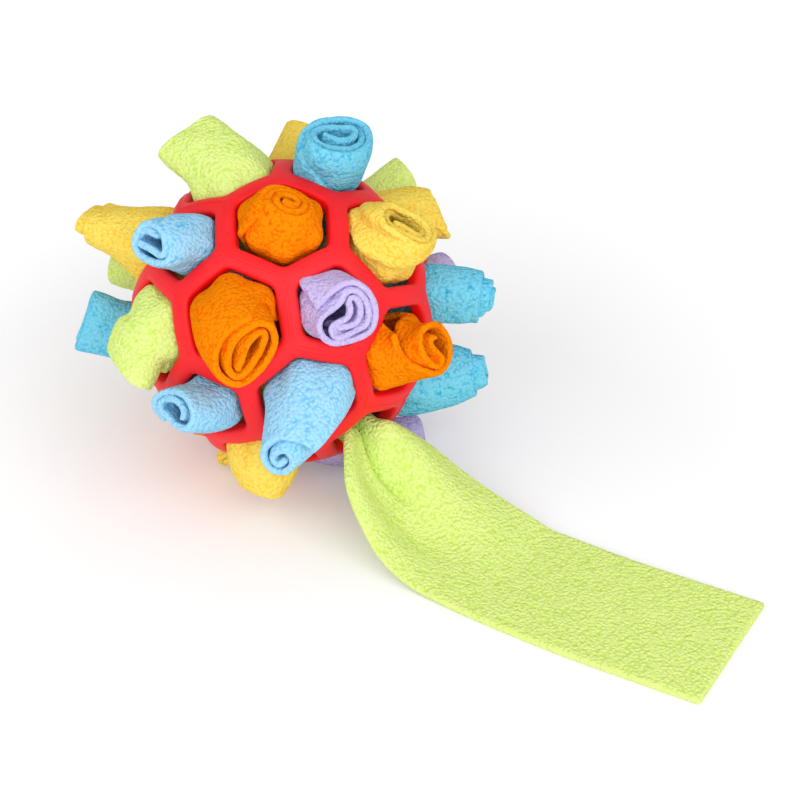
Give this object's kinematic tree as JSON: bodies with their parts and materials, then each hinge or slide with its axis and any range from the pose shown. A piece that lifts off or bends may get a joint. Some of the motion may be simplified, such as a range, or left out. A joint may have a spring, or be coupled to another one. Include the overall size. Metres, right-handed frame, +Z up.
{
  "type": "snuffle ball",
  "caption": "Hollow rubber treat ball for a pet, an open lattice of pentagon and hexagon holes, each stuffed with a rolled fleece strip that pulls out; a pulled-open strip lies beside it.",
  "frame": {"origin": "middle of the whole toy's footprint, at floor level", "axes": "+Z up; +X towards the far end of the open strip's long side and +Y away from the viewer of the picture"},
  "size_m": [0.286, 0.251, 0.1554],
  "materials": {
    "rubber_red": "satin moulded rubber",
    "fleece_orange": "matt pilled fleece",
    "fleece_blue": "matt pilled fleece",
    "fleece_lime": "matt pilled fleece",
    "fleece_yellow": "matt pilled fleece",
    "fleece_lilac": "matt pilled fleece"
  },
  "bodies": {
    "ball": {"rubber_ball": "rubber_red"},
    "roll_01": {"fleece_roll_01_blue": "fleece_blue"},
    "roll_02": {"fleece_roll_02_orange": "fleece_orange"},
    "roll_03": {"fleece_roll_03_lime": "fleece_lime"},
    "roll_04": {"fleece_roll_04_blue": "fleece_blue"},
    "roll_05": {"fleece_roll_05_yellow": "fleece_yellow"},
    "roll_06": {"fleece_roll_06_yellow": "fleece_yellow"},
    "roll_07": {"fleece_roll_07_yellow": "fleece_yellow"},
    "roll_08": {"fleece_roll_08_lilac": "fleece_lilac"},
    "roll_09": {"fleece_roll_09_orange": "fleece_orange"},
    "roll_10": {"fleece_roll_10_orange": "fleece_orange"},
    "roll_11": {"fleece_roll_11_yellow": "fleece_yellow"},
    "roll_12": {"fleece_roll_12_blue": "fleece_blue"},
    "roll_13": {"fleece_roll_13_lime": "fleece_lime"},
    "roll_14": {"fleece_roll_14_lime": "fleece_lime"},
    "roll_15": {"fleece_roll_15_orange": "fleece_orange"},
    "roll_16": {"fleece_roll_16_lilac": "fleece_lilac"},
    "roll_17": {"fleece_roll_17_blue": "fleece_blue"},
    "roll_18": {"fleece_roll_18_lime": "fleece_lime"},
    "roll_19": {"fleece_roll_19_lilac": "fleece_lilac"},
    "roll_20": {"fleece_roll_20_blue": "fleece_blue"},
    "roll_21": {"fleece_roll_21_blue": "fleece_blue"},
    "roll_22": {"fleece_roll_22_blue": "fleece_blue"},
    "roll_23": {"fleece_roll_23_yellow": "fleece_yellow"},
    "roll_24": {"fleece_roll_24_lilac": "fleece_lilac"},
    "roll_25": {"fleece_roll_25_orange": "fleece_orange"},
    "roll_26": {"fleece_roll_26_yellow": "fleece_yellow"},
    "roll_27": {"fleece_roll_27_orange": "fleece_orange"},
    "roll_28": {"fleece_roll_28_blue": "fleece_blue"},
    "roll_29": {"fleece_roll_29_lilac": "fleece_lilac"},
    "roll_30": {"fleece_roll_30_lime": "fleece_lime"},
    "roll_31": {"fleece_roll_31_yellow": "fleece_yellow"},
    "open_strip": {"open_fleece_strip": "fleece_lime"}
  },
  "joints": [
    {"name": "roll_01_pulls_out", "type": "slide", "parent": "ball", "child": "roll_01", "axis": [0.2902, 0.1834, 0.9392], "range_m": [0, 0.045]},
    {"name": "roll_02_pulls_out", "type": "slide", "parent": "ball", "child": "roll_02", "axis": [0.0313, -0.4023, 0.915], "range_m": [0, 0.045]},
    {"name": "roll_03_pulls_out", "type": "slide", "parent": "ball", "child": "roll_03", "axis": [-0.35, 0.2009, 0.915], "range_m": [0, 0.045]},
    {"name": "roll_04_pulls_out", "type": "slide", "parent": "ball", "child": "roll_04", "axis": [-0.5803, -0.3669, 0.7271], "range_m": [0, 0.045]},
    {"name": "roll_05_pulls_out", "type": "slide", "parent": "ball", "child": "roll_05", "axis": [0.688, -0.2481, 0.682], "range_m": [0, 0.045]},
    {"name": "roll_06_pulls_out", "type": "slide", "parent": "ball", "child": "roll_06", "axis": [0.071, 0.7279, 0.682], "range_m": [0, 0.045]},
    {"name": "roll_07_pulls_out", "type": "slide", "parent": "ball", "child": "roll_07", "axis": [0.7125, 0.4504, 0.538], "range_m": [0, 0.045]},
    {"name": "roll_08_pulls_out", "type": "slide", "parent": "ball", "child": "roll_08", "axis": [0.3649, -0.7757, 0.5149], "range_m": [0, 0.045]},
    {"name": "roll_09_pulls_out", "type": "slide", "parent": "ball", "child": "roll_09", "axis": [-0.5442, 0.6623, 0.5149], "range_m": [0, 0.045]},
    {"name": "roll_10_pulls_out", "type": "slide", "parent": "ball", "child": "roll_10", "axis": [-0.2679, -0.8524, 0.449], "range_m": [0, 0.045]},
    {"name": "roll_11_pulls_out", "type": "slide", "parent": "ball", "child": "roll_11", "axis": [-0.885, 0.1236, 0.449], "range_m": [0, 0.045]},
    {"name": "roll_12_pulls_out", "type": "slide", "parent": "ball", "child": "roll_12", "axis": [0.9852, 0.0008, 0.1716], "range_m": [0, 0.045]},
    {"name": "roll_13_pulls_out", "type": "slide", "parent": "ball", "child": "roll_13", "axis": [0.4233, 0.8896, 0.1716], "range_m": [0, 0.045]},
    {"name": "roll_14_pulls_out", "type": "slide", "parent": "ball", "child": "roll_14", "axis": [-0.8342, -0.5274, 0.161], "range_m": [0, 0.045]},
    {"name": "roll_15_pulls_out", "type": "slide", "parent": "ball", "child": "roll_15", "axis": [0.7946, -0.6029, 0.072], "range_m": [0, 0.045]},
    {"name": "roll_16_pulls_out", "type": "slide", "parent": "ball", "child": "roll_16", "axis": [-0.2038, 0.9764, 0.072], "range_m": [0, 0.045]},
    {"name": "roll_17_pulls_out", "type": "slide", "parent": "ball", "child": "roll_17", "axis": [0.2038, -0.9764, -0.072], "range_m": [0, 0.045]},
    {"name": "roll_18_pulls_out", "type": "slide", "parent": "ball", "child": "roll_18", "axis": [-0.7946, 0.6029, -0.072], "range_m": [0, 0.045]},
    {"name": "roll_19_pulls_out", "type": "slide", "parent": "ball", "child": "roll_19", "axis": [0.8342, 0.5274, -0.161], "range_m": [0, 0.045]},
    {"name": "roll_20_pulls_out", "type": "slide", "parent": "ball", "child": "roll_20", "axis": [-0.4233, -0.8896, -0.1716], "range_m": [0, 0.045]},
    {"name": "roll_21_pulls_out", "type": "slide", "parent": "ball", "child": "roll_21", "axis": [-0.9852, -0.0008, -0.1716], "range_m": [0, 0.045]},
    {"name": "roll_22_pulls_out", "type": "slide", "parent": "ball", "child": "roll_22", "axis": [0.885, -0.1236, -0.449], "range_m": [0, 0.045]},
    {"name": "roll_23_pulls_out", "type": "slide", "parent": "ball", "child": "roll_23", "axis": [0.2679, 0.8524, -0.449], "range_m": [0, 0.045]},
    {"name": "roll_24_pulls_out", "type": "slide", "parent": "ball", "child": "roll_24", "axis": [-0.3649, 0.7757, -0.5149], "range_m": [0, 0.045]},
    {"name": "roll_25_pulls_out", "type": "slide", "parent": "ball", "child": "roll_25", "axis": [-0.7125, -0.4504, -0.538], "range_m": [0, 0.045]},
    {"name": "roll_26_pulls_out", "type": "slide", "parent": "ball", "child": "roll_26", "axis": [-0.071, -0.7279, -0.682], "range_m": [0, 0.045]},
    {"name": "roll_27_pulls_out", "type": "slide", "parent": "ball", "child": "roll_27", "axis": [-0.688, 0.2481, -0.682], "range_m": [0, 0.045]},
    {"name": "roll_28_pulls_out", "type": "slide", "parent": "ball", "child": "roll_28", "axis": [0.5803, 0.3669, -0.7271], "range_m": [0, 0.045]},
    {"name": "roll_29_pulls_out", "type": "slide", "parent": "ball", "child": "roll_29", "axis": [0.35, -0.2009, -0.915], "range_m": [0, 0.045]},
    {"name": "roll_30_pulls_out", "type": "slide", "parent": "ball", "child": "roll_30", "axis": [-0.0313, 0.4023, -0.915], "range_m": [0, 0.045]},
    {"name": "roll_31_pulls_out", "type": "slide", "parent": "ball", "child": "roll_31", "axis": [-0.2902, -0.1834, -0.9392], "range_m": [0, 0.045]},
    {"name": "open_strip_pulls_out", "type": "slide", "parent": "ball", "child": "open_strip", "axis": [0.848, -0.5299, 0], "range_m": [0, 0.045]}
  ]
}
